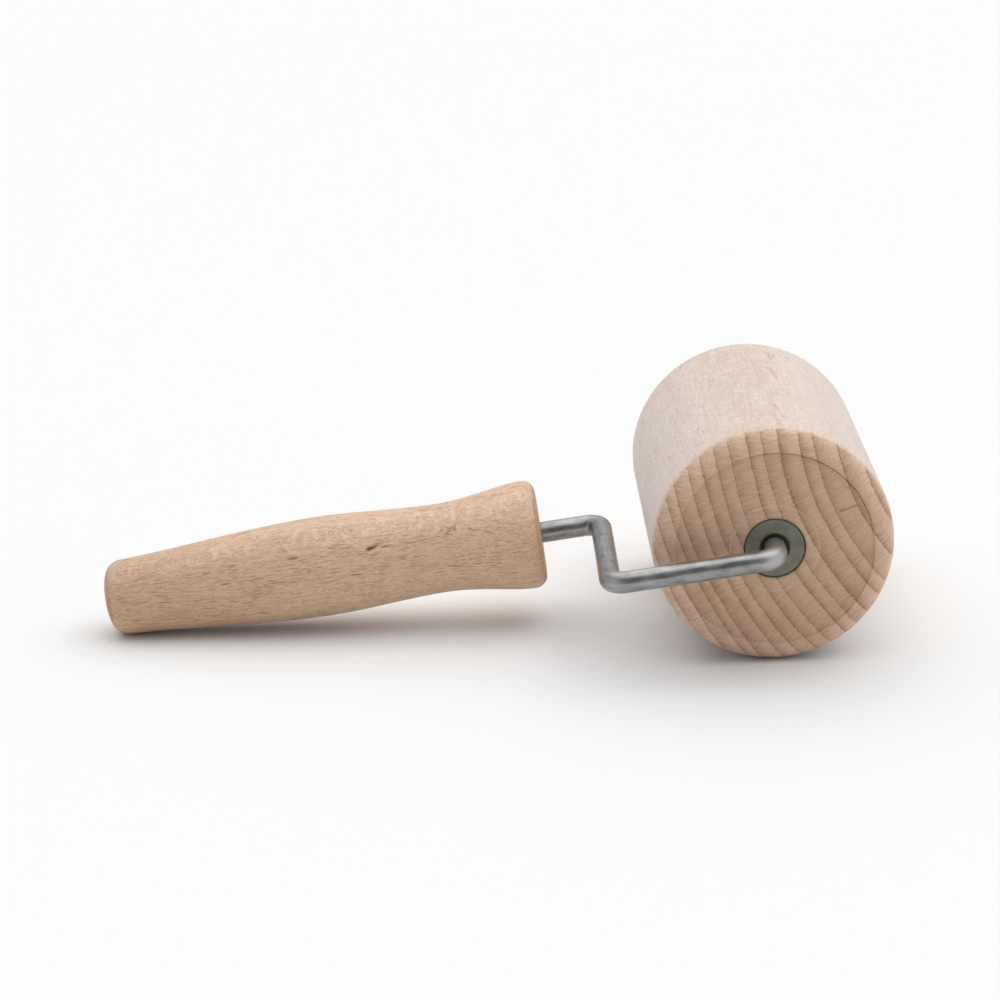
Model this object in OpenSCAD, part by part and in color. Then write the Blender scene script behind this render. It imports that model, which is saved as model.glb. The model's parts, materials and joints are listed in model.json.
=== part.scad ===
// Hand roller with a bent wire arm: a beech barrel that turns on the wire, and a turned beech handle.
// It stands as it is put down, with the barrel and the handle's butt touching Z = 0.
// +X runs from the butt to the barrel, and +Y along the barrel, away from the wire's front run.

/* [Roller] */
// Diameter of the barrel
roller_d = 56; // [44:1:66]
// Length of the barrel over both ends
roller_len = 82; // [70:1:110]
// Radius of the turned edge at each end
edge_r = 5; // [2:0.5:8]
// Depth of the flat end below the turned edge
end_step = 0.3; // [0.1:0.1:0.6]

/* [Bushes] */
// Diameter of the flange
flange_d = 14; // [12:0.5:18]
// Thickness of the flange
flange_t = 2; // [1.5:0.25:3]
// Diameter of the sleeve that is pressed into the barrel's bore
sleeve_d = 10; // [8:0.5:11]
// Length over flange and sleeve
bush_len = 14; // [8:1:20]
// Depth of the flange's face below the flat end
bush_inset = 0.3; // [0:0.1:0.6]
// Radius of the flared mouth of the bush's hole
mouth_r = 3.5; // [3.2:0.1:4.5]
// Radial running clearance between axle and bush
run_clear = 0.05; // [0.02:0.01:0.1]

/* [Wire] */
// Diameter of the steel wire
wire_d = 5; // [4:0.5:6]
// Bend radius at the middle of the wire
bend_r = 4; // [3.5:0.5:8]
// Distance from the axle to the crank arm
arm_x = 38.5; // [36:0.5:60]
// Distance from the barrel's flat end to the front run
front_gap = 7.5; // [7.5:0.5:20]
// Length of wire inside the handle
tang_len = 45; // [25:1:70]

/* [Handle] */
// Length of the handle
handle_len = 106; // [90:1:130]
// Distance from the axle to the handle's front face
handle_gap = 53; // [45:1:80]
// How far the handle stands off the barrel's mid-length
handle_shift = -3; // [-10:1:10]
// Radius of the flare at the front
flare_r = 13; // [12:0.5:15]
// Radius of the waist behind the flare
waist_r = 10.7; // [9:0.1:11.5]
// Radius of the belly
belly_r = 12; // [11:0.5:14]
// Radius at the start of the rounded butt
butt_r = 9.1; // [8:0.1:11]

/* [Retaining parts] */
// Outer diameter of the washer
washer_d = 12; // [10:0.5:13]
// Thickness of the washer
washer_t = 1; // [0.8:0.1:1.6]
// Outer diameter of the push-on clip
clip_d = 11; // [9:0.5:12]
// Number of gripping tabs on the clip
clip_tabs = 6; // [3:1:8]

/* [Hidden] */
$fn = 96;
beech = [0.85, 0.70, 0.56];
pale_beech = [0.93, 0.84, 0.77];
steel = [0.62, 0.63, 0.64];
zinc = [0.72, 0.73, 0.74];
bush_grey = [0.46, 0.47, 0.42];

roller_r = roller_d / 2;
wire_r = wire_d / 2;
// Lengths along the barrel are measured from its mid-length
flat_y = roller_len / 2 - end_step;
bush_face_y = flat_y - bush_inset;
front_y = -flat_y - front_gap;

// The bush's flange sits loose in its counterbore, and its sleeve is pressed in
flange_clear = 0.15;
mouth_depth = 1.2;
mouth_lip = 0.4;

// The washer turns freely on the wire, clear of the bush
washer_float = 0.3;
washer_clear = 0.15;
washer_y = bush_face_y + washer_float;
clip_y = washer_y + washer_t;
clip_t = 0.5;
clip_rise = 1.6;
clip_rim = 1.8;
slot_w = 0.9;
end_over = 1.6;
end_chamfer = 0.6;
axle_end_y = clip_y + clip_rise + end_over;

// The handle's outline: distance behind the front face, radius, and slope
front_round = 3;
bore_spare = 1;
butt_len = 6;
ears = [8, 6.6, 1.6];
ears_from_tip = 14;
stations = [
    [front_round, flare_r, 0],
    [handle_len * 0.10, flare_r - 0.8, -0.17],
    [handle_len * 0.23, waist_r, 0],
    [handle_len * 0.50, belly_r, 0],
    [handle_len - butt_len, butt_r, -0.05]
];
steps = 8;

// Cubic from one station to the next, at u from 0 to 1
function blend(a, b, u) = let (d = b[0] - a[0])
    a[1] * (1 - 3 * u * u + 2 * u * u * u)
    + a[2] * d * (u - 2 * u * u + u * u * u)
    + b[1] * (3 * u * u - 2 * u * u * u)
    + b[2] * d * (u * u * u - u * u);

side = [for (i = [0 : len(stations) - 2], k = [0 : steps - 1])
    let (a = stations[i], b = stations[i + 1], u = k / steps)
    [a[0] + (b[0] - a[0]) * u, blend(a, b, u)]];
front_arc = [for (q = [0 : 15 : 75])
    [front_round * (1 - cos(q)), flare_r - front_round * (1 - sin(q))]];
// The butt is a quarter of a superellipse, blunter than an ellipse
butt_power = 2 / 3;
butt_arc = [for (q = [0 : 7.5 : 90])
    [handle_len - butt_len + butt_len * pow(sin(q), butt_power), butt_r * pow(cos(q), butt_power)]];
outline = concat(front_arc, side, butt_arc);

// The handle drops from the axle until its outline meets the table
tilt = min([for (p = outline) let (reach = handle_gap + p[0])
    asin(roller_r / norm([reach, p[1]])) - atan2(p[1], reach)]);
butt_x = max([for (p = outline) (handle_gap + p[0]) * cos(tilt) + p[1] * sin(tilt)]);
axle_x = (butt_x - roller_r) / 2;
mid_y = -(axle_end_y + front_y - wire_r) / 2;

// Everything is drawn with the axle along Y through the origin and the handle along -X,
// and this puts it down on the table
module put_down() {
    translate([axle_x, mid_y, roller_r]) rotate([0, -tilt, 0]) children();
}

// Turns an outline of [radius, height] points drawn around Z so that its height runs along +Y
module along_y() {
    rotate([-90, 0, 0]) children();
}

module quarter_round(r) {
    intersection() {
        circle(r);
        square(r);
    }
}

// Half of the barrel's section, from its mid-length to one end
module half_section() {
    difference() {
        union() {
            square([roller_r, roller_len / 2 - edge_r]);
            square([roller_r - edge_r, roller_len / 2]);
            translate([roller_r - edge_r, roller_len / 2 - edge_r]) quarter_round(edge_r);
        }
        translate([0, flat_y]) square([roller_r - edge_r, edge_r]);
        square([sleeve_d / 2, roller_len]);
        translate([0, bush_face_y - flange_t]) square([flange_d / 2 + flange_clear, roller_len]);
    }
}

module roller() {
    color(pale_beech) put_down() along_y() rotate_extrude() union() {
        half_section();
        mirror([0, 1]) half_section();
    }
}

// A flanged bush around Z, with its flange's face at the height of the barrel's end
module bush() {
    bore_r = wire_r + run_clear;
    foot = bush_face_y - bush_len;
    rotate_extrude() difference() {
        union() {
            translate([0, foot]) square([sleeve_d / 2, bush_len]);
            translate([0, bush_face_y - flange_t]) square([flange_d / 2 - mouth_lip, flange_t]);
            translate([0, bush_face_y - flange_t]) square([flange_d / 2, flange_t - mouth_lip]);
            translate([flange_d / 2 - mouth_lip, bush_face_y - mouth_lip]) quarter_round(mouth_lip);
        }
        translate([0, foot - 1]) square([bore_r, bush_len + 2]);
        polygon([
            [0, bush_face_y + 1],
            [mouth_r, bush_face_y + 1],
            [mouth_r, bush_face_y],
            [bore_r, bush_face_y - mouth_depth],
            [0, bush_face_y - mouth_depth]
        ]);
    }
}

module near_bush() {
    color(bush_grey) put_down() mirror([0, 1, 0]) along_y() bush();
}

module far_bush() {
    color(bush_grey) put_down() along_y() bush();
}

module elbow(x, y, turn) {
    translate([x, y, 0]) rotate([0, 0, turn]) rotate_extrude(angle = 90)
        translate([bend_r, 0]) circle(wire_r);
}

module run_x(x0, x1, y) {
    translate([x0, y, 0]) rotate([0, 90, 0]) cylinder(r = wire_r, h = x1 - x0);
}

module run_y(y0, y1, x) {
    translate([x, y0, 0]) along_y() cylinder(r = wire_r, h = y1 - y0);
}

module rod() {
    tip_x = -handle_gap - tang_len;
    color(steel) put_down() union() {
        run_x(tip_x, -arm_x - bend_r, handle_shift);
        elbow(-arm_x - bend_r, handle_shift - bend_r, 0);
        run_y(front_y + bend_r, handle_shift - bend_r, -arm_x);
        elbow(-arm_x + bend_r, front_y + bend_r, 180);
        run_x(-arm_x + bend_r, -bend_r, front_y);
        elbow(-bend_r, front_y + bend_r, 270);
        run_y(front_y + bend_r, axle_end_y - end_chamfer, 0);
        translate([0, axle_end_y - end_chamfer, 0]) along_y()
            cylinder(r1 = wire_r, r2 = wire_r - end_chamfer, h = end_chamfer);
        // Two ears pinched out of the wire keep it from turning in the handle
        translate([tip_x + ears_from_tip, handle_shift, 0]) cube(ears, center = true);
    }
}

module handle() {
    color(beech) put_down() translate([-handle_gap, handle_shift, 0]) rotate([0, -90, 0])
        difference() {
            rotate_extrude() polygon(concat(
                [[0, 0]],
                [for (p = outline) [p[1], p[0]]]
            ));
            translate([0, 0, -1]) cylinder(r = wire_r, h = tang_len + bore_spare + 1);
        }
}

module washer() {
    color(zinc) put_down() along_y() translate([0, 0, washer_y]) difference() {
        cylinder(d = washer_d, h = washer_t);
        translate([0, 0, -1]) cylinder(r = wire_r + washer_clear, h = washer_t + 2);
    }
}

// A dished ring whose slotted inner edge grips the wire
module push_on_clip() {
    color(zinc) put_down() along_y() translate([0, 0, clip_y]) difference() {
        rotate_extrude() polygon([
            [clip_d / 2 - clip_rim, 0],
            [clip_d / 2, 0],
            [clip_d / 2, clip_t],
            [clip_d / 2 - clip_rim, clip_t],
            [wire_r, clip_rise],
            [wire_r, clip_rise - clip_t]
        ]);
        for (k = [0 : clip_tabs - 1]) rotate([0, 0, k * 360 / clip_tabs])
            translate([0, -slot_w / 2, -1]) cube([clip_d / 2 - clip_rim, slot_w, clip_rise + 2]);
    }
}

handle();
rod();
roller();
near_bush();
far_bush();
washer();
push_on_clip();
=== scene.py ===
"""Looks for a beech hand roller: turned wood, bent steel wire, nylon bushes, washer and push-on clip."""
import json
import math

import bmesh
import bpy
from mathutils import Matrix, Vector, noise


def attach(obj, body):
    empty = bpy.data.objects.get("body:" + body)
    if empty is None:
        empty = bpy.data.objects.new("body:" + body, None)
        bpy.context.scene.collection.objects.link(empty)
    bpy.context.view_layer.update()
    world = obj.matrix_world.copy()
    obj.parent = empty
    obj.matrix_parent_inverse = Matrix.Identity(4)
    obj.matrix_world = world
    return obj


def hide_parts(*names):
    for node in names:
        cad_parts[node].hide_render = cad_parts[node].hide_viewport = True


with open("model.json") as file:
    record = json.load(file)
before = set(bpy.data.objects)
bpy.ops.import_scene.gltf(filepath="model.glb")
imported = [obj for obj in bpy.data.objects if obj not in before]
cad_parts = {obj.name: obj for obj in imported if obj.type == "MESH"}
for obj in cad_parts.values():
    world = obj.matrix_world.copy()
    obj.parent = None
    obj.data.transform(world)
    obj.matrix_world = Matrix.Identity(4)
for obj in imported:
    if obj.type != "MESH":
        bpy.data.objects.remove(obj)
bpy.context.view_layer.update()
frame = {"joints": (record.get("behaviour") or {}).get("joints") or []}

MM = 0.001

# The CAD model's own sizes, in millimetres, and its tilt
TILT = math.radians(7.07)
ROLLER_R = 28.0
ROLLER_LEN = 82.0
EDGE_R = 5.0
END_STEP = 0.3
FLANGE_R = 7.0
FLANGE_T = 2.0
COUNTERBORE_R = 7.15
SLEEVE_R = 5.0
BUSH_LEN = 14.0
BUSH_INSET = 0.3
BUSH_BORE_R = 2.55
MOUTH_R = 3.5
MOUTH_DEPTH = 1.2
WIRE_R = 2.5
BEND_R = 4.0
ARM_X = 38.5
FRONT_GAP = 7.5
TANG_LEN = 45.0
EARS = (8.0, 6.6, 1.6)
EARS_FROM_TIP = 14.0
HANDLE_LEN = 106.0
HANDLE_GAP = 53.0
HANDLE_SHIFT = -3.0
WASHER_R = 6.0
WASHER_T = 1.0
WASHER_FLOAT = 0.3
CLIP_R = 5.5
CLIP_RIM = 1.8
CLIP_T = 0.5
CLIP_RISE = 1.6
CLIP_TABS = 6
SLOT_W = 0.9
END_OVER = 1.6
END_CHAMFER = 0.6

FLAT_Y = ROLLER_LEN / 2 - END_STEP
BUSH_FACE_Y = FLAT_Y - BUSH_INSET
FRONT_Y = -FLAT_Y - FRONT_GAP
WASHER_Y = BUSH_FACE_Y + WASHER_FLOAT
CLIP_Y = WASHER_Y + WASHER_T
AXLE_END_Y = CLIP_Y + CLIP_RISE + END_OVER
TIP_X = -HANDLE_GAP - TANG_LEN

# Radius of the ring scored into each face of the barrel, which the CAD model doesn't have
SCORED_R = 10.3

# Placings. PUT_DOWN has the axle's middle at its origin, the axle along Y and the handle along -X.
AXLE = Vector(frame["joints"][0]["pos_m"])
PUT_DOWN = Matrix.Translation(AXLE) @ Matrix.Rotation(-TILT, 4, "Y")
# Turned pieces are drawn round their own Z.
# On the barrel and the near bush it runs towards the viewer, with X right and Y up.
TOWARDS_VIEWER = Matrix.Translation(AXLE) @ Matrix.Rotation(math.radians(90), 4, "X")
# On the far bush, the washer and the clip it runs the other way
FAR_END = Matrix.Translation(AXLE) @ Matrix.Rotation(math.radians(-90), 4, "X")
# On the handle Z runs from the front face to the butt, with X towards the viewer and Y up
HANDLE_AXES = PUT_DOWN @ Matrix(
    ((0, 0, -1, -HANDLE_GAP * MM), (-1, 0, 0, HANDLE_SHIFT * MM), (0, 1, 0, 0), (0, 0, 0, 1))
)

# The camera's angles in degrees, its lens in mm and its place in metres
CAMERA_ELEVATION = 17.57
CAMERA_HEADING = -0.76
CAMERA_ROLL = -1.8
CAMERA_LENS = 118.76
CAMERA_PLACE = (-0.00714, -0.7542, 0.26885)

FLOOR_RADIUS = 12
FLOOR_GREY = (0.85, 0.85, 0.85, 1)

# The dome's level, and its patches: direction, the cosines where a patch starts and is full, and strength
DOME_LEVEL = 0.43
DOME_PATCHES = (
    ((0.12, 0.30, 1.0), 0.52, 0.88, 1.36),
    ((1.0, -0.2, 0.35), 0.5, 0.95, 0.40),
    ((-1.0, 0.2, 0.35), 0.5, 0.95, 0.24),
    ((0.0, -1.0, 0.50), 0.72, 0.94, -0.30),
)

# Edges sharper than this are shaded as edges
SHARP_EDGE = math.radians(32)

# Darkness through one growth ring, from its pale start to the sharp dark edge where it ends
RING_PROFILE = [(0.0, 0.62), (0.035, 0.06), (0.38, 0.14), (0.70, 0.42), (0.90, 0.62), (0.965, 1.0)]


# ---------------------------------------------------------------- camera, light and floor

def add_camera():
    data = bpy.data.cameras.new("camera")
    data.sensor_width = 36.0
    data.lens = CAMERA_LENS
    data.clip_end = 50.0
    camera = bpy.data.objects.new("camera", data)
    bpy.context.scene.collection.objects.link(camera)
    camera.matrix_world = (
        Matrix.Translation(CAMERA_PLACE)
        @ Matrix.Rotation(math.radians(CAMERA_HEADING), 4, "Z")
        @ Matrix.Rotation(math.radians(90) - math.radians(CAMERA_ELEVATION), 4, "X")
        @ Matrix.Rotation(math.radians(CAMERA_ROLL), 4, "Z")
    )
    bpy.context.scene.camera = camera


def add_floor():
    bpy.ops.mesh.primitive_circle_add(vertices=96, radius=FLOOR_RADIUS, fill_type="NGON")
    floor = bpy.context.object
    floor.name = "floor"
    g = Graph("pale_floor")
    g.surface(color=FLOOR_GREY, roughness=0.9)
    floor.data.materials.append(g.material)


def add_light():
    """A studio dome: broad soft light overhead, weaker at the sides, and darker behind the camera."""
    world = bpy.data.worlds.new("studio")
    bpy.context.scene.world = world
    world.use_nodes = True
    g = Graph(tree=world.node_tree)
    way = g.node("ShaderNodeTexCoord").outputs["Generated"]
    level = DOME_LEVEL
    patches = []
    for centre, wide, full, strength in DOME_PATCHES:
        patches.append(g.glow(way, centre, wide, full))
        level = g.add(level, g.mul(patches[-1], strength))
    seen = g.node("ShaderNodeLightPath").outputs["Is Camera Ray"]
    lamp = g.node("ShaderNodeBackground")
    g.feed(lamp.inputs["Strength"], g.mix_value(seen, level, 1.0))
    overhead = patches[0]
    tint = g.mix(overhead, (0.95, 0.985, 1.04, 1), (1.01, 1.0, 0.98, 1))
    g.feed(lamp.inputs["Color"], g.mix(seen, tint, (1, 1, 1, 1)))
    g.tree.links.new(lamp.outputs[0], g.node("ShaderNodeOutputWorld").inputs["Surface"])
    bpy.context.scene.view_settings.view_transform = "Standard"


# ---------------------------------------------------------------- material graphs

class Graph:
    """A node tree with short calls for the nodes that the materials use."""

    def __init__(self, name=None, tree=None):
        if tree is None:
            self.material = bpy.data.materials.new(name)
            self.material.use_nodes = True
            tree = self.material.node_tree
        self.tree = tree
        tree.nodes.clear()

    def node(self, kind, **settings):
        made = self.tree.nodes.new(kind)
        for key, value in settings.items():
            setattr(made, key, value)
        return made

    def feed(self, socket, value):
        if isinstance(value, bpy.types.NodeSocket):
            self.tree.links.new(value, socket)
        else:
            socket.default_value = value

    def math(self, operation, *values, clamp=False):
        made = self.node("ShaderNodeMath", operation=operation, use_clamp=clamp)
        for socket, value in zip(made.inputs, values):
            self.feed(socket, value)
        return made.outputs[0]

    def add(self, a, b):
        return self.math("ADD", a, b)

    def sub(self, a, b):
        return self.math("SUBTRACT", a, b)

    def mul(self, a, b):
        return self.math("MULTIPLY", a, b)

    def clamped(self, value):
        """The value held between 0 and 1."""
        return self.math("ADD", value, 0.0, clamp=True)

    def swing(self, pattern, amount):
        """A pattern from 0 to 1, turned into a swing of half the amount either way."""
        return self.mul(self.sub(pattern, 0.5), amount)

    def length(self, a, b):
        return self.math("SQRT", self.add(self.mul(a, a), self.mul(b, b)))

    def place_mm(self):
        """The shaded point in the piece's own axes, in mm."""
        return self.vector("SCALE", self.node("ShaderNodeTexCoord").outputs["Object"], 1 / MM)

    def vector(self, operation, *values, out="Vector"):
        made = self.node("ShaderNodeVectorMath", operation=operation)
        slots = [made.inputs[0], made.inputs[3]] if operation == "SCALE" else made.inputs
        for socket, value in zip(slots, values):
            self.feed(socket, value)
        return made.outputs[out]

    def split(self, vector):
        made = self.node("ShaderNodeSeparateXYZ")
        self.feed(made.inputs[0], vector)
        return made.outputs[0], made.outputs[1], made.outputs[2]

    def join(self, x, y, z):
        made = self.node("ShaderNodeCombineXYZ")
        for socket, value in zip(made.inputs, (x, y, z)):
            self.feed(socket, value)
        return made.outputs[0]

    def stretched(self, x, y, z, size):
        """The point (x, y, z) counted in cells of the given size."""
        return self.join(*[self.math("DIVIDE", v, s) for v, s in zip((x, y, z), size)])

    def noise(self, vector, detail=1.0, roughness=0.5, shift=0.0, out="Fac"):
        made = self.node("ShaderNodeTexNoise", noise_dimensions="4D")
        self.feed(made.inputs["Vector"], vector)
        made.inputs["W"].default_value = shift
        made.inputs["Scale"].default_value = 1.0
        made.inputs["Detail"].default_value = detail
        made.inputs["Roughness"].default_value = roughness
        return made.outputs[out]

    def cells(self, vector):
        """Distance to the nearest of many scattered points, one in each unit cell."""
        made = self.node("ShaderNodeTexVoronoi", voronoi_dimensions="3D")
        self.feed(made.inputs["Vector"], vector)
        made.inputs["Scale"].default_value = 1.0
        return made.outputs["Distance"]

    def step(self, value, low, high, bottom=0.0, top=1.0):
        """Smooth step: bottom below low, top above high."""
        made = self.node("ShaderNodeMapRange", interpolation_type="SMOOTHSTEP")
        for socket, entry in zip(made.inputs, (value, low, high, bottom, top)):
            self.feed(socket, entry)
        return made.outputs[0]

    def curve(self, value, stops):
        """A number looked up between (position, level) stops."""
        made = self.node("ShaderNodeValToRGB")
        ramp = made.color_ramp
        while len(ramp.elements) < len(stops):
            ramp.elements.new(0.5)
        for element, (position, level) in zip(ramp.elements, stops):
            element.position = position
            element.color = (level, level, level, 1)
        self.feed(made.inputs[0], value)
        return made.outputs[0]

    def mix(self, factor, a, b, blend="MIX"):
        made = self.node("ShaderNodeMix", data_type="RGBA", blend_type=blend)
        self.feed(made.inputs[0], factor)
        self.feed(made.inputs[6], a)
        self.feed(made.inputs[7], b)
        return made.outputs[2]

    def mix_value(self, factor, a, b):
        made = self.node("ShaderNodeMix", data_type="FLOAT")
        for socket, value in zip(made.inputs[:1] + made.inputs[2:4], (factor, a, b)):
            self.feed(socket, value)
        return made.outputs[0]

    def streak(self, here, start, stop, width, fray):
        """1 on the line from start to stop, about width mm across and narrowing, with a frayed edge."""
        start, run = Vector(start), Vector(stop) - Vector(start)
        ahead = self.vector("SUBTRACT", here, start)
        along = self.vector("DOT_PRODUCT", ahead, run / run.length_squared, out="Value")
        along = self.clamped(along)
        off_line = self.vector("SUBTRACT", ahead, self.vector("SCALE", run, along))
        away = self.math("DIVIDE", self.vector("LENGTH", off_line, out="Value"), width / 2)
        away = self.add(away, self.mul(along, 0.35))
        return self.step(self.add(away, self.mul(fray, 4.0)), 0.4, 1.1, 1.0, 0.0)

    def glow(self, way, centre, wide, full):
        """1 where a direction is close to centre, fading out; wide and full are cosines."""
        level = self.vector("DOT_PRODUCT", way, Vector(centre).normalized(), out="Value")
        return self.step(level, wide, full)

    def bump(self, height, strength, depth_mm):
        made = self.node("ShaderNodeBump")
        made.inputs["Strength"].default_value = strength
        made.inputs["Distance"].default_value = depth_mm * MM
        self.feed(made.inputs["Height"], height)
        return made.outputs[0]

    def surface(self, color, roughness, normal=None, **constants):
        shader = self.node("ShaderNodeBsdfPrincipled")
        self.feed(shader.inputs["Base Color"], color)
        self.feed(shader.inputs["Roughness"], roughness)
        if normal is not None:
            self.feed(shader.inputs["Normal"], normal)
        for key, value in constants.items():
            shader.inputs[key.replace("_", " ")].default_value = value
        out = self.node("ShaderNodeOutputMaterial")
        self.tree.links.new(shader.outputs[0], out.inputs["Surface"])


class Beech(Graph):
    """Solid beech with the grain along the piece's own Z.

    It has rings round the pith, rays that point at the pith, and pores.
    pith is the pith's place across the grain, in mm.
    rings is the radius of the first ring and how fast the rings crowd.
    look holds the sizes (in mm), tints and weights of the patterns.
    Its face is the radius within which all is end grain. Its end_from is how far across the grain
    a surface has to turn before end grain starts to show, and before all of it does.
    """

    def __init__(self, name, placing, seed, pith, rings, look):
        super().__init__(name)
        self.seed = seed
        self.pith = pith
        self.look = look
        self.find_place(placing)
        self.find_arc()
        self.make_rings(*rings)
        self.make_rays()
        self.make_pores()
        self.find_end_grain()

    def pattern(self, point, size, shift, **settings):
        """Noise with cells of the given size in mm. Each pattern of a piece has a shift of its own."""
        return self.noise(self.stretched(*point, size), shift=self.seed + shift, **settings)

    def find_place(self, placing):
        """The point and its normal in the placing's axes, and the point in the slowly wandering grain."""
        axes = [placing.col[k].to_3d() for k in range(3)]
        point = self.place_mm()
        normal = self.node("ShaderNodeTexCoord").outputs["Normal"]
        self.here = [self.vector("DOT_PRODUCT", point, axis, out="Value") for axis in axes]
        self.facing = [self.vector("DOT_PRODUCT", normal, axis, out="Value") for axis in axes]
        slow = self.pattern(self.here, (18, 18, 45), 0, detail=2, out="Color")
        offset = self.vector("MULTIPLY", self.vector("SUBTRACT", slow, (0.5, 0.5, 0.5)), self.look["wander"])
        self.wood = self.split(self.vector("ADD", self.join(*self.here), offset))
        self.radius = self.length(self.here[0], self.here[1])

    def find_arc(self):
        """Distance from the pith, and the arc round it, in mm.

        The arc's seam lies behind the pith, outside the wood. A slow wave bends the arc.
        is_tangent is 1 where the surface lies along the rings and 0 where it lies along the rays.
        """
        dx = self.sub(self.wood[0], self.pith[0])
        dy = self.sub(self.wood[1], self.pith[1])
        away = self.length(dx, dy)
        inward = math.atan2(-self.pith[1], -self.pith[0])
        ahead = self.add(self.mul(dx, math.cos(inward)), self.mul(dy, math.sin(inward)))
        aside = self.sub(self.mul(dy, math.cos(inward)), self.mul(dx, math.sin(inward)))
        arc = self.mul(self.math("ARCTAN2", aside, ahead), math.hypot(*self.pith))
        along_radius = self.add(self.mul(self.facing[0], dx), self.mul(self.facing[1], dy))
        squareness = self.math("ABSOLUTE", self.math("DIVIDE", along_radius, away))
        self.is_tangent = self.step(squareness, 0.12, 0.48)
        wave = self.pattern(self.here, self.look["wave_cell"], 10, detail=1)
        arc = self.add(arc, self.swing(wave, self.mix_value(self.is_tangent, *self.look["wave"])))
        self.ray_place = (arc, away, self.wood[2])

    def make_rings(self, first_ring, crowding):
        """Rings: pale early wood, then darker late wood with a sharp outer edge."""
        count = self.math("POWER", self.math("DIVIDE", self.ray_place[1], first_ring), crowding)
        uneven = self.noise(self.join(count, 0.0, 0.0), shift=self.seed + 5)
        count = self.add(count, self.mul(uneven, 0.9))
        ragged = self.pattern(self.ray_place, (0.8, 0.8, 7), 6, detail=3)
        count = self.add(count, self.mul(ragged, 0.20))
        late = self.curve(self.math("FRACT", count), RING_PROFILE)
        each = self.noise(self.join(self.math("FLOOR", count), 7.3, 0.0), shift=self.seed + 9)
        self.late = self.mul(late, self.step(each, 0.3, 0.7, 0.7, 1.15))

    def make_rays(self):
        """Rays: fine lines all over, and broad ones that show as dashes, patches or lines."""
        raw = self.pattern(self.ray_place, self.look["fine_ray"], 1, detail=2, roughness=0.6)
        self.rays = self.step(raw, 0.30, 0.70)
        self.outline = self.step(self.math("ABSOLUTE", self.sub(raw, 0.5)), 0.0, 0.045, 1.0, 0.0)
        broad = self.cells(self.stretched(*self.ray_place, self.look["broad_ray"]))
        broad = self.step(broad, *self.look["ray_edge"], 1.0, 0.0)
        self.some = self.pattern(self.here, (5, 5, 11), 4, detail=1)
        broad = self.mul(broad, self.step(self.some, 0.32, 0.62, 0.25, 1.0))
        long_dash = self.cells(self.stretched(*self.ray_place, self.look["long_ray"]))
        long_dash = self.step(long_dash, 0.06, 0.17, 1.0, 0.0)
        self.broad = self.math("MAXIMUM", broad, long_dash)

    def make_pores(self):
        """Pores, slow patches of colour, and long lines of grain."""
        pores = self.pattern(self.wood, (0.20, 0.20, 1.4), 7, detail=2, roughness=0.7)
        self.pores = self.step(pores, 0.30, 0.70)
        self.patch = self.pattern(self.here, (7, 7, 22), 8, detail=3)
        lines = self.pattern(self.wood, (0.40, 0.40, 11), 14, detail=2, roughness=0.6)
        self.lines = self.step(lines, 0.30, 0.70)

    def find_end_grain(self):
        """End grain shows where the surface turns across the grain, with a frayed edge."""
        across = self.math("ABSOLUTE", self.facing[2])
        self.tongues = self.pattern(self.ray_place, (1.3, 2.4, 8), 12, detail=2)
        self.fray = self.add(self.swing(self.rays, 0.06), self.swing(self.tongues, 0.45))
        face = self.look["face"]
        self.in_face = self.step(self.radius, face, face + 0.3, 1.0, 0.0)
        frayed = self.step(self.add(across, self.fray), *self.look["end_from"])
        self.is_end = self.math("MAXIMUM", frayed, self.in_face)

    def tone(self, weights, dark, light):
        """A colour from dark to light: the middle tone plus each pattern at its weight."""
        total = self.sub(weights["base"], self.mul(self.late, weights["late"]))
        for key in ("rays", "pores", "patch", "lines"):
            total = self.add(total, self.swing(getattr(self, key), weights[key]))
        return self.mix(self.clamped(total), dark, light)

    def side_color(self, dark, light):
        """Long grain. Where the surface lies along the rays it has a tint of its own, and flecks; on the
        handle that tint is paler and bluer, partly a painted sheen.
        """
        color = self.tone(self.look["side"], dark, light)
        fleck = self.mix_value(0.3, self.outline, self.sub(1.0, self.rays))
        fleck = self.mul(self.sub(1.0, self.is_tangent), fleck)
        radial = self.mix(1.0, color, self.look["radial_tone_and_sheen"], "MULTIPLY")
        radial = self.mix(self.mul(fleck, self.look["fleck"]), radial, self.look["fleck_tint"], "MULTIPLY")
        return self.mix(self.is_tangent, radial, color)

    def end_color(self, dark, light, scored_tint):
        """End grain, with a rim lifted paler and cooler by a painted highlight, a scored ring and patchy
        painted shade round the hole.
        """
        color = self.tone(self.look["end"], dark, light)
        # Painted highlight: end grain past the rim is lifted, paler and cooler, as light on the round-over
        is_rim = self.step(self.radius, *self.look["rim"])
        color = self.mix(is_rim, color, self.mix(1.0, color, self.look["rim_highlight_tint"], "MULTIPLY"))
        off_ring = self.math("ABSOLUTE", self.sub(self.radius, self.look["scored"]))
        scored = self.step(off_ring, 0.08, 0.26, 0.55, 0.0)
        color = self.mix(self.mul(scored, self.some), color, scored_tint)
        # Painted shade: the face just outside the counterbore is darkened in patches, as shade from the gap
        # round the bush
        near_hole = self.step(self.radius, COUNTERBORE_R, COUNTERBORE_R + 0.6, 0.7, 0.0)
        gap_shade = self.mul(self.mul(self.in_face, near_hole), self.tongues)
        return self.mix(gap_shade, color, (0.45, 0.38, 0.26, 1), "MULTIPLY")

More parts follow.
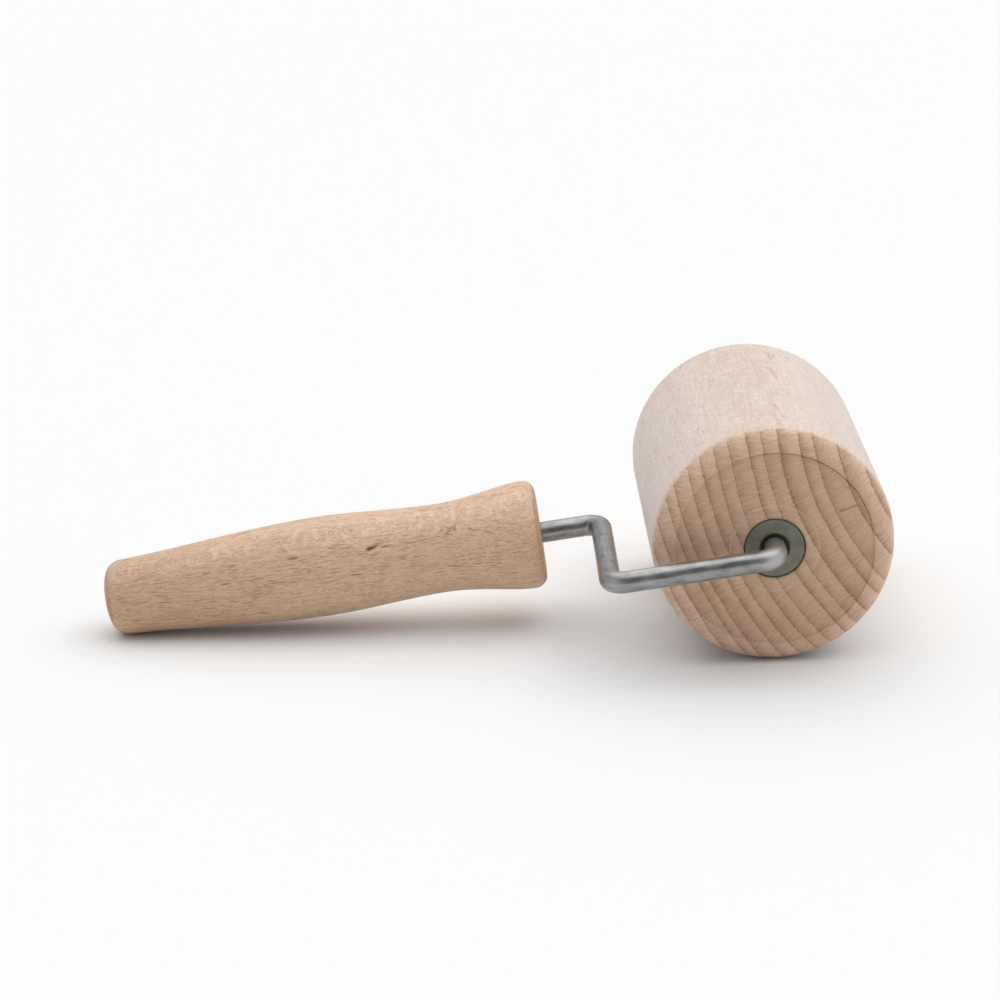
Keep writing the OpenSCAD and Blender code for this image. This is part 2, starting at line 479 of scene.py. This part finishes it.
    def paint(self, side, end, marks):
        """The whole colour. side and end are the (dark, light) colours of long grain and end grain.

        A warmer band lies where the one turns into the other.
        """
        color = self.mix(self.is_end, self.side_color(*side), self.end_color(*end, scored_tint=side[1]))
        between = self.mul(self.mul(self.is_end, self.sub(1.0, self.is_end)), 1.6)
        color = self.mix(between, color, (1.0, 0.84, 0.70, 1), "MULTIPLY")
        # Painted shade: the piece is darker and warmer towards the handle's butt, where less light falls
        shade_along = self.step(self.here[2], *self.look["fade"])
        color = self.mix(shade_along, color, self.look["shade_along_tint"], "MULTIPLY")
        on_tangent, on_radial, on_end = self.look["dash"]
        dash = self.mix_value(self.is_end, self.mix_value(self.is_tangent, on_radial, on_tangent), on_end)
        color = self.mix(self.mul(self.broad, dash), color, self.look["dash_tint"], "MULTIPLY")
        here = self.join(*self.here)
        for start, stop, width, strength, tint in marks:
            spot = self.streak(here, start, stop, width, self.fray)
            color = self.mix(self.mul(spot, strength), color, (*tint, 1), "MULTIPLY")
        return color

    def finish(self, color):
        height = self.add(self.mul(self.rays, 0.25), self.mul(self.pores, 0.35))
        height = self.sub(height, self.mul(self.broad, 0.5))
        height = self.sub(height, self.mul(self.late, 0.25))
        rough = self.mix_value(self.pores, self.look["rough"] - 0.06, self.look["rough"] + 0.06)
        self.surface(
            color, rough, self.bump(height, self.look["bump"], 0.10), Specular_IOR_Level=0.35,
            Sheen_Weight=self.look["sheen"], Sheen_Roughness=0.35, Sheen_Tint=(0.86, 0.92, 1.0, 1),
        )
        return self.material


def barrel_beech(placing):
    look = {
        "wander": (1.2, 1.2, 0.0),
        "wave_cell": (14, 14, 13),
        "wave": (5.0, 0.6),
        "fine_ray": (0.42, 3.5, 3.4),
        "broad_ray": (0.30, 4.0, 3.2),
        "ray_edge": (0.14, 0.40),
        "long_ray": (1.4, 9, 11),
        "end_from": (0.27, 0.50),
        "dash": (0.62, 0.20, 0.12),
        "dash_tint": (0.78, 0.66, 0.60, 1),
        "radial_tone_and_sheen": (1.0, 0.99, 0.98, 1),
        "fleck": 0.55,
        "fleck_tint": (0.87, 0.76, 0.68, 1),
        "face": 23.4,
        "rim": (22.85, 23.1),
        # Painted highlight on the round-over's end grain
        "rim_highlight_tint": (1.12, 1.15, 1.22, 1),
        "scored": SCORED_R,
        "side": {"base": 0.64, "late": 0.10, "rays": 0.24, "pores": 0.56, "patch": 0.4, "lines": 0.34},
        "end": {"base": 0.86, "late": 0.70, "rays": 0.30, "pores": 0.36, "patch": 0.5, "lines": 0.0},
        "fade": (-50, 60),
        "shade_along_tint": (1.0, 1.0, 1.0, 1),
        "bump": 0.5,
        "rough": 0.60,
        "sheen": 0.30,
    }
    rust = (0.86, 0.64, 0.52)
    scratch = (0.50, 0.46, 0.44)
    # Each mark: where it starts and ends, its width, its strength and its tint
    marks = (
        ((5.0, 27.5, -30.0), (5.9, 27.4, -24), 1.2, 0.65, rust),
        ((6.8, 27.2, -28.5), (5.9, 27.4, -24), 1.1, 0.6, rust),
        ((4.2, 27.7, -14.5), (5.2, 27.5, -6.0), 1.6, 0.65, rust),
        ((2.3, 27.9, 18.5), (3.2, 27.8, 24.5), 1.4, 0.5, rust),
        ((3.0, 27.8, 25.5), (3.4, 27.8, 30.0), 1.2, 0.4, rust),
        ((1.6, 28.0, 30.5), (2.0, 27.9, 36.0), 1.5, 0.4, rust),
        ((15.2, 8.5, 40.7), (18.6, 9.6, 40.7), 0.9, 0.8, scratch),
        ((15.6, 14.9, 40.7), (17.0, 13.6, 40.7), 1.0, 0.5, rust),
    )
    wood = Beech("barrel_beech", placing, seed=3.0, pith=(75, 36), rings=(20, 1.78), look=look)
    side = ((0.60, 0.445, 0.365, 1), (0.81, 0.69, 0.61, 1))
    end = ((0.31, 0.155, 0.080, 1), (0.71, 0.493, 0.335, 1))
    return wood.finish(wood.paint(side, end, marks))


def handle_beech(placing):
    look = {
        "wander": (1.4, 1.4, 0.0),
        "wave_cell": (10, 10, 8),
        "wave": (5.0, 0.5),
        "fine_ray": (0.50, 5, 3.0),
        "broad_ray": (0.22, 5.0, 4.4),
        "ray_edge": (0.14, 0.38),
        "long_ray": (1.1, 9, 12),
        "end_from": (0.60, 0.90),
        "dash": (0.95, 0.16, 0.35),
        "dash_tint": (0.52, 0.37, 0.26, 1),
        # Partly the radial face's paler tone, partly a painted sheen
        "radial_tone_and_sheen": (1.05, 1.10, 1.23, 1),
        "fleck": 0.75,
        "fleck_tint": (0.86, 0.70, 0.60, 1),
        "face": 0.0,
        "rim": (8.0, 11.0),
        # Painted highlight: a slight lift on the end grain past the rim
        "rim_highlight_tint": (1.04, 1.04, 1.04, 1),
        "scored": 6.2,
        "side": {"base": 0.80, "late": 0.16, "rays": 0.32, "pores": 0.80, "patch": 0.45, "lines": 0.42},
        "end": {"base": 0.74, "late": 0.45, "rays": 0.35, "pores": 0.30, "patch": 0.5, "lines": 0.0},
        # Painted shade towards the butt
        "fade": (30, 115),
        "shade_along_tint": (0.87, 0.84, 0.795, 1),
        "bump": 0.6,
        "rough": 0.56,
        "sheen": 0.24,
    }
    # The nick, the paler streak beside it and one more dark fleck
    marks = (
        ((9.9, 5.7, 40.9), (9.6, 6.2, 39.0), 1.25, 1.0, (0.34, 0.23, 0.14)),
        ((9.8, 6.0, 40.2), (8.2, 7.8, 35.4), 1.7, 0.55, (0.74, 0.55, 0.38)),
        ((11.8, 1.0, 24.0), (11.8, 0.7, 20.0), 0.7, 0.8, (0.46, 0.28, 0.18)),
    )
    wood = Beech("handle_beech", placing, seed=11.0, pith=(54, -20), rings=(9, 1.4), look=look)
    side = ((0.50, 0.285, 0.150, 1), (0.785, 0.56, 0.385, 1))
    end = ((0.36, 0.19, 0.09, 1), (0.66, 0.44, 0.27, 1))
    return wood.finish(wood.paint(side, end, marks))


def drawn_steel():
    """Satin zinc-plated wire with fine lines along it, painted paler and made rougher from the last bend on:
    painted light on the stub by the bush.
    """
    g = Graph("drawn_steel")
    flow = g.node("ShaderNodeAttribute", attribute_name="flow").outputs["Vector"]
    x, y, z = g.split(flow)
    lines = g.noise(g.stretched(x, y, z, (0.22, 0.22, 3.2)), detail=2, roughness=0.6, shift=1.0)
    cloud = g.noise(g.stretched(x, y, z, (1.8, 1.8, 4.5)), detail=2, roughness=0.6, shift=2.0)
    tone = g.add(g.mul(lines, 0.5), g.mul(cloud, 0.5))
    color = g.mix(g.step(tone, 0.3, 0.7), (0.21, 0.208, 0.204, 1), (0.44, 0.437, 0.432, 1))
    rough = g.step(tone, 0.3, 0.7, 0.26, 0.38)
    ahead = g.vector("DOT_PRODUCT", g.place_mm(), PUT_DOWN.col[0].to_3d(), out="Value")
    # Painted light: from the last bend on the wire is made paler, as light on the stub by the bush; it is
    # also rougher
    lit_stub = g.step(ahead, -BEND_R - 1.5, -BEND_R + 2.5)
    color = g.mix(g.mul(lit_stub, 0.65), color, (0.52, 0.517, 0.51, 1))
    rough = g.mix_value(lit_stub, rough, 0.44)
    height = g.add(g.mul(lines, 0.3), g.mul(cloud, 0.6))
    g.surface(color, rough, g.bump(height, 0.30, 0.05), Metallic=0.85)
    return g.material


def pressed_zinc():
    """Bright zinc plating with a faint blue cast, for the washer and the clip."""
    g = Graph("pressed_zinc")
    x, y, z = g.split(g.place_mm())
    grain = g.noise(g.stretched(x, y, z, (0.25, 0.25, 0.25)), detail=3, roughness=0.6, shift=4.0)
    cloud = g.noise(g.stretched(x, y, z, (2.2, 2.2, 2.2)), detail=2, shift=5.0)
    color = g.mix(cloud, (0.58, 0.60, 0.63, 1), (0.74, 0.74, 0.72, 1))
    rough = g.step(grain, 0.3, 0.7, 0.22, 0.40)
    g.surface(color, rough, g.bump(grain, 0.2, 0.03), Metallic=1.0)
    return g.material


def nylon():
    """Moulded grey-green nylon, slightly waxy, with faint rings from the mould."""
    g = Graph("nylon")
    x, y, z = g.split(g.place_mm())
    radius = g.length(x, z)
    ring_place = g.join(g.math("DIVIDE", radius, 0.28), 0.0, g.math("DIVIDE", y, 0.6))
    rings = g.noise(ring_place, detail=2, shift=6.0)
    cloud = g.noise(g.stretched(x, y, z, (2.0, 2.0, 2.0)), detail=2, shift=7.0)
    tone = g.add(g.mul(rings, 0.35), g.mul(cloud, 0.65))
    color = g.mix(g.step(tone, 0.3, 0.7), (0.148, 0.147, 0.100, 1), (0.225, 0.222, 0.172, 1))
    # The hole's wall is darker: painted shade in the hole
    hole_shade = g.step(radius, MOUTH_R - 0.2, MOUTH_R + 0.2, 0.86, 0.0)
    color = g.mix(hole_shade, color, (0.060, 0.052, 0.018, 1))
    rough = g.step(rings, 0.3, 0.7, 0.36, 0.48)
    g.surface(color, rough, g.bump(rings, 0.15, 0.05), Specular_IOR_Level=0.45)
    return g.material


# ---------------------------------------------------------------- mesh building

def arc_points(centre, radius, start, stop, count):
    """Points (radius, height) of an arc, from one angle in degrees to another."""
    steps = [start + (stop - start) * k / count for k in range(count + 1)]
    return [
        (centre[0] + radius * math.cos(math.radians(a)), centre[1] + radius * math.sin(math.radians(a)))
        for a in steps
    ]


def split_long(outline, longest, closed):
    """The outline with points added so that no edge is longer than longest."""
    out = []
    pairs = list(zip(outline, outline[1:] + outline[:1])) if closed else list(zip(outline, outline[1:]))
    for a, b in pairs:
        count = max(1, math.ceil(math.dist(a, b) / longest))
        out += [(a[0] + (b[0] - a[0]) * k / count, a[1] + (b[1] - a[1]) * k / count) for k in range(count)]
    return out if closed else out + [outline[-1]]


def finish_piece(name, mesh, placing, body, node, material):
    """Adds a piece whose mesh is drawn in the placing's axes, ties it to its body and hides its CAD node."""
    mesh.transform(placing.to_3x3().to_4x4())
    mesh.materials.append(material)
    for face in mesh.polygons:
        face.use_smooth = True
    mesh.set_sharp_from_angle(angle=SHARP_EDGE)
    piece = bpy.data.objects.new(name, mesh)
    bpy.context.scene.collection.objects.link(piece)
    piece.matrix_world = Matrix.Translation(placing.translation)
    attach(piece, body)
    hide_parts(node)


def turned(outline, segments, closed, wobble=None):
    """A mesh turned round Z from (radius, height) points in mm.

    An open outline starts and ends on the axis.
    wobble turns a point's (radius, height, angle) into its moved (radius, height).
    """
    bm = bmesh.new()
    rows = []
    for radius, height in outline:
        if radius < 1e-6:
            rows.append([bm.verts.new((0, 0, height * MM))])
            continue
        row = []
        for k in range(segments):
            angle = 2 * math.pi * k / segments
            r, h = wobble(radius, height, angle) if wobble else (radius, height)
            row.append(bm.verts.new((r * math.cos(angle) * MM, r * math.sin(angle) * MM, h * MM)))
        rows.append(row)
    pairs = list(zip(rows, rows[1:] + rows[:1])) if closed else list(zip(rows, rows[1:]))
    for low, high in pairs:
        for k in range(segments):
            n = (k + 1) % segments
            corners = [low[k % len(low)], low[n % len(low)], high[n % len(high)], high[k % len(high)]]
            corners = [c for i, c in enumerate(corners) if c not in corners[:i]]
            if len(corners) > 2:
                bm.faces.new(corners)
    bmesh.ops.recalc_face_normals(bm, faces=bm.faces)
    mesh = bpy.data.meshes.new("turned")
    bm.to_mesh(mesh)
    bm.free()
    return mesh


def ripple(angle, cycles, seed):
    """Smooth noise from -1 to 1 round a circle."""
    return noise.noise(Vector((math.cos(angle) * cycles, math.sin(angle) * cycles, seed)))


# ---------------------------------------------------------------- the pieces

def barrel_end():
    """Outline of one end of the barrel, from the bore's wall out to the straight side."""
    floor = BUSH_FACE_Y - FLANGE_T
    chamfer = 0.15
    score_w, score_d = 0.16, 0.09
    face_r = ROLLER_R - EDGE_R
    lip = 0.10
    end = ROLLER_LEN / 2
    outline = [
        (SLEEVE_R, floor), (COUNTERBORE_R, floor),
        (COUNTERBORE_R, FLAT_Y - chamfer), (COUNTERBORE_R + chamfer, FLAT_Y),
        (SCORED_R - score_w, FLAT_Y), (SCORED_R, FLAT_Y - score_d), (SCORED_R + score_w, FLAT_Y),
        (face_r - 0.40, FLAT_Y), (face_r - 0.20, FLAT_Y), (face_r - 0.04, FLAT_Y),
        (face_r, FLAT_Y + lip * 0.5), (face_r, end - lip),
    ]
    return outline + arc_points((face_r, end - EDGE_R), EDGE_R, 88, 0, 18)


def barrel():
    half = barrel_end()
    outline = half + [(r, -h) for r, h in reversed(half)]
    outline = split_long(outline, 1.6, closed=True)
    face_r = ROLLER_R - EDGE_R
    corner_cut, cut_angle = 0.22, math.radians(50)
    flat_ripple, step_aside, step_ripple = 0.05, 0.10, 0.06

    def cut_marks(radius, height, angle):
        """The step is uneven, its corner is cut deeper on one side, and the flat ripples a little."""
        side = math.copysign(1, height)
        if 0.1 < face_r - radius < 0.35 and abs(height) > FLAT_Y - 0.3:
            height -= side * corner_cut * max(0.0, math.cos(angle - cut_angle)) ** 2
        if abs(height) > FLAT_Y - 0.3 and COUNTERBORE_R + 0.1 < radius < face_r + 0.02:
            fade = (radius - COUNTERBORE_R) / (face_r - COUNTERBORE_R)
            height += side * flat_ripple * ripple(angle, 2.3, radius * 0.4 + side) * fade
            if radius > face_r - 0.3:
                radius += step_aside * ripple(angle, 7, side * 3)
                height += side * step_ripple * ripple(angle, 9, side * 5)
        return radius, height

    mesh = turned(outline, 288, closed=True, wobble=cut_marks)
    wood = barrel_beech(TOWARDS_VIEWER)
    finish_piece("barrel_turned", mesh, TOWARDS_VIEWER, "barrel", "roller", wood)


def blend(a, b, u):
    """Cubic from one (place, radius, slope) station to the next, at u from 0 to 1."""
    d = b[0] - a[0]
    return (
        a[1] * (1 - 3 * u**2 + 2 * u**3) + a[2] * d * (u - 2 * u**2 + u**3)
        + b[1] * (3 * u**2 - 2 * u**3) + b[2] * d * (u**3 - u**2)
    )


def handle():
    front_round, flare_r, waist_r, belly_r, butt_r, butt_len = 3.0, 13.0, 10.7, 12.0, 9.1, 6.0
    stations = [
        (front_round, flare_r, 0), (HANDLE_LEN * 0.10, flare_r - 0.8, -0.17), (HANDLE_LEN * 0.23, waist_r, 0),
        (HANDLE_LEN * 0.50, belly_r, 0), (HANDLE_LEN - butt_len, butt_r, -0.05),
    ]
    bore_end, mouth = TANG_LEN + 1, 0.35
    outline = [(0, bore_end), (WIRE_R, bore_end), (WIRE_R, mouth), (WIRE_R + mouth, 0.0)]
    outline += [(flare_r - front_round, 0.0)]
    outline += [
        (flare_r - front_round * (1 - math.sin(q)), front_round * (1 - math.cos(q)))
        for q in [math.radians(6 * k) for k in range(1, 15)]
    ]
    for a, b in zip(stations, stations[1:]):
        count = round((b[0] - a[0]) / 0.9)
        outline += [(blend(a, b, k / count), a[0] + (b[0] - a[0]) * k / count) for k in range(count)]
    power = 2 / 3
    outline += [
        (butt_r * math.cos(q) ** power, HANDLE_LEN - butt_len + butt_len * math.sin(q) ** power)
        for q in [math.radians(3 * k) for k in range(30)]
    ]
    outline += [(0, HANDLE_LEN)]
    outline = split_long(outline, 1.2, closed=False)

    off_round = 0.035
    nick_angle, nick_height, nick_depth = math.radians(31.5), 40.0, 0.30

    def sanded(radius, height, angle):
        """The side is a few hundredths of a millimetre off round, and it has one small nick."""
        if radius > WIRE_R + mouth:
            radius += off_round * ripple(angle, 2, height * 0.06)
            aside, along = radius * (angle - nick_angle), height - nick_height
            off_nick = math.hypot((aside + along * 0.3) / 0.65, along / 1.5)
            radius -= nick_depth * max(0.0, 1 - off_nick)
        return radius, height

    mesh = turned(outline, 224, closed=False, wobble=sanded)
    wood = handle_beech(HANDLE_AXES)
    finish_piece("handle_turned", mesh, HANDLE_AXES, "frame", "handle", wood)


def wire_path():
    """Points along the wire's middle: (x, y, heading, squeeze), in mm and radians.

    squeeze is 0 where the wire is straight and rises to 1 in the middle of a bend.
    """
    path = []

    def straight(x0, y0, x1, y1, heading):
        longest = 1.0
        count = max(2, math.ceil(math.dist((x0, y0), (x1, y1)) / longest))
        for k in range(count):
            u = k / count
            path.append((x0 + (x1 - x0) * u, y0 + (y1 - y0) * u, heading, 0.0))

    def bend(cx, cy, start, turn, heading):
        count = 20
        for k in range(count):
            u = k / count
            angle = math.radians(start + turn * u)
            point = (cx + BEND_R * math.cos(angle), cy + BEND_R * math.sin(angle))
            path.append((*point, heading + math.radians(turn) * u, math.sin(math.pi * u)))

    quarter = math.pi / 2
    straight(TIP_X + END_CHAMFER, HANDLE_SHIFT, -ARM_X - BEND_R, HANDLE_SHIFT, 0)
    bend(-ARM_X - BEND_R, HANDLE_SHIFT - BEND_R, 90, -90, 0)
    straight(-ARM_X, HANDLE_SHIFT - BEND_R, -ARM_X, FRONT_Y + BEND_R, -quarter)
    bend(-ARM_X + BEND_R, FRONT_Y + BEND_R, 180, 90, -quarter)
    straight(-ARM_X + BEND_R, FRONT_Y, -BEND_R, FRONT_Y, 0)
    bend(-BEND_R, FRONT_Y + BEND_R, 270, 90, 0)
    straight(0, FRONT_Y + BEND_R, 0, AXLE_END_Y - END_CHAMFER, quarter)
    path.append((0, AXLE_END_Y - END_CHAMFER, quarter, 0.0))
    return path


def rod():
    """The wire, which flattens a little in its bends, with two ears on its tang and chamfered ends."""
    sides = 56
    narrower, taller = 0.05, 0.035
    bm = bmesh.new()
    flow = bm.verts.layers.float_vector.new("flow")
    rows, along, before = [], 0.0, None

    def ring(x, y, heading, squeeze, radius, along):
        row = []
        nx, ny = -math.sin(heading), math.cos(heading)
        pinched = 1.0 if abs(x - TIP_X - EARS_FROM_TIP) <= EARS[0] / 2 else 0.0
        for k in range(sides):
            a = 2 * math.pi * k / sides
            across = radius * (1 - narrower * squeeze) * math.cos(a)
            up = radius * (1 + taller * squeeze) * math.sin(a)
            if abs(up) <= EARS[2] / 2:
                across += math.copysign(pinched * (EARS[1] / 2 - abs(across)), across)
            vert = bm.verts.new(((x + nx * across) * MM, (y + ny * across) * MM, up * MM))
            vert[flow] = (radius * math.cos(a), radius * math.sin(a), along)
            row.append(vert)
        rows.append(row)

    ring(TIP_X, HANDLE_SHIFT, 0, 0, WIRE_R - END_CHAMFER, -END_CHAMFER)
    for x, y, heading, squeeze in wire_path():
        if before:
            along += math.dist(before, (x, y))
        before = (x, y)
        ring(x, y, heading, squeeze, WIRE_R, along)
    for r, h in arc_points((WIRE_R - END_CHAMFER, 0), END_CHAMFER, 30, 90, 3):
        ring(0, AXLE_END_Y - END_CHAMFER + h, math.pi / 2, 0, r, along + h)
    for low, high in zip(rows, rows[1:]):
        for k in range(sides):
            n = (k + 1) % sides
            bm.faces.new((low[k], low[n], high[n], high[k]))
    bm.faces.new(rows[0])
    bm.faces.new(rows[-1])
    bmesh.ops.recalc_face_normals(bm, faces=bm.faces)
    mesh = bpy.data.meshes.new("rod")
    bm.to_mesh(mesh)
    bm.free()
    finish_piece("bent_wire", mesh, PUT_DOWN, "frame", "rod", drawn_steel())


def bush(name, node, placing, material):
    foot = BUSH_FACE_Y - BUSH_LEN
    shoulder = BUSH_FACE_Y - FLANGE_T
    lip, mouth_lip, toe = 0.4, 0.25, 0.5
    inner_chamfer, flange_chamfer = 0.2, 0.1
    outline = [(BUSH_BORE_R, foot + inner_chamfer), (BUSH_BORE_R + inner_chamfer, foot)]
    outline += [(SLEEVE_R - toe, foot), (SLEEVE_R, foot + toe), (SLEEVE_R, shoulder)]
    outline += [(FLANGE_R - flange_chamfer, shoulder), (FLANGE_R, shoulder + flange_chamfer)]
    outline += arc_points((FLANGE_R - lip, BUSH_FACE_Y - lip), lip, 0, 90, 6)
    outline += arc_points((MOUTH_R + mouth_lip, BUSH_FACE_Y - mouth_lip), mouth_lip, 90, 150, 5)
    outline += [(BUSH_BORE_R, BUSH_FACE_Y - MOUTH_DEPTH)]
    mesh = turned(split_long(outline, 0.8, closed=True), 128, closed=True)
    finish_piece(name, mesh, placing, "barrel", node, material)


def washer(material):
    chamfer, hole_r = 0.12, WIRE_R + 0.15
    low, high = WASHER_Y, WASHER_Y + WASHER_T
    outline = [
        (hole_r, low + chamfer), (hole_r + chamfer, low),
        (WASHER_R - chamfer, low), (WASHER_R, low + chamfer),
        (WASHER_R, high - chamfer), (WASHER_R - chamfer, high),
        (hole_r + chamfer, high), (hole_r, high - chamfer),
    ]
    mesh = turned(split_long(outline, 0.7, closed=True), 128, closed=True)
    finish_piece("plain_washer", mesh, FAR_END, "frame", "washer", material)


def clip(material):
    """A flat rim and a ring of tabs that rise to grip the wire, with a slot between each two tabs."""
    per_tab, slot_cells = 24, 4
    sides = per_tab * CLIP_TABS
    rim_r = CLIP_R - CLIP_RIM
    chamfer = 0.12
    radii = [CLIP_R, CLIP_R - chamfer, CLIP_R - 0.9, rim_r + 0.25, rim_r, rim_r - 0.4, rim_r - 0.8, WIRE_R]
    bm = bmesh.new()

    def rise(radius):
        return 0.0 if radius >= rim_r else (rim_r - radius) / (rim_r - WIRE_R) * (CLIP_RISE - CLIP_T)

    def column_angle(radius, k):
        """The first columns of each sixth fill the slot, which is centred on the start of that sixth."""
        tab, column = divmod(k, per_tab)
        sixth = 2 * math.pi / CLIP_TABS
        half_slot = math.asin(SLOT_W / 2 / radius)
        if column <= slot_cells:
            inside = half_slot * (2 * column / slot_cells - 1)
        else:
            past = (column - slot_cells) / (per_tab - slot_cells)
            inside = half_slot + (sixth - 2 * half_slot) * past
        return sixth * tab + inside

    def make_grid(top):
        grid = []
        for j, radius in enumerate(radii):
            row = []
            for k in range(sides):
                angle = column_angle(radius, k)
                height = CLIP_Y + rise(radius) + (CLIP_T if top else 0.0)
                height += (-chamfer if top else chamfer) if j == 0 else 0.0
                x, y = radius * math.cos(angle), radius * math.sin(angle)
                row.append(bm.verts.new((x * MM, y * MM, height * MM)))
            grid.append(row)
        return grid

    top, under = make_grid(True), make_grid(False)

    def solid(j, k):
        """False where a slot takes the cell between radii j and j + 1 away."""
        return radii[j] > rim_r or (k % per_tab) >= slot_cells

    def wall(a, b):
        bm.faces.new((a[0], a[1], b[1], b[0]))

    rows = len(radii)
    for j in range(rows - 1):
        for k in range(sides):
            n = (k + 1) % sides
            if not solid(j, k):
                continue
            bm.faces.new((top[j][k], top[j][n], top[j + 1][n], top[j + 1][k]))
            bm.faces.new((under[j][k], under[j + 1][k], under[j + 1][n], under[j][n]))
            if j == 0:
                wall((top[j][k], top[j][n]), (under[j][k], under[j][n]))
            if j == rows - 2 or not solid(j + 1, k):
                wall((top[j + 1][k], top[j + 1][n]), (under[j + 1][k], under[j + 1][n]))
            if not solid(j, (k - 1) % sides):
                wall((top[j][k], top[j + 1][k]), (under[j][k], under[j + 1][k]))
            if not solid(j, n):
                wall((top[j][n], top[j + 1][n]), (under[j][n], under[j + 1][n]))
    bmesh.ops.delete(bm, geom=[v for v in bm.verts if not v.link_faces], context="VERTS")
    bmesh.ops.recalc_face_normals(bm, faces=bm.faces)
    mesh = bpy.data.meshes.new("clip")
    bm.to_mesh(mesh)
    bm.free()
    finish_piece("star_clip", mesh, FAR_END, "frame", "push_on_clip", material)


add_camera()
add_floor()
add_light()
barrel()
handle()
rod()
nylon_finish = nylon()
bush("near_flanged_bush", "near_bush", TOWARDS_VIEWER, nylon_finish)
bush("far_flanged_bush", "far_bush", FAR_END, nylon_finish)
zinc_finish = pressed_zinc()
washer(zinc_finish)
clip(zinc_finish)
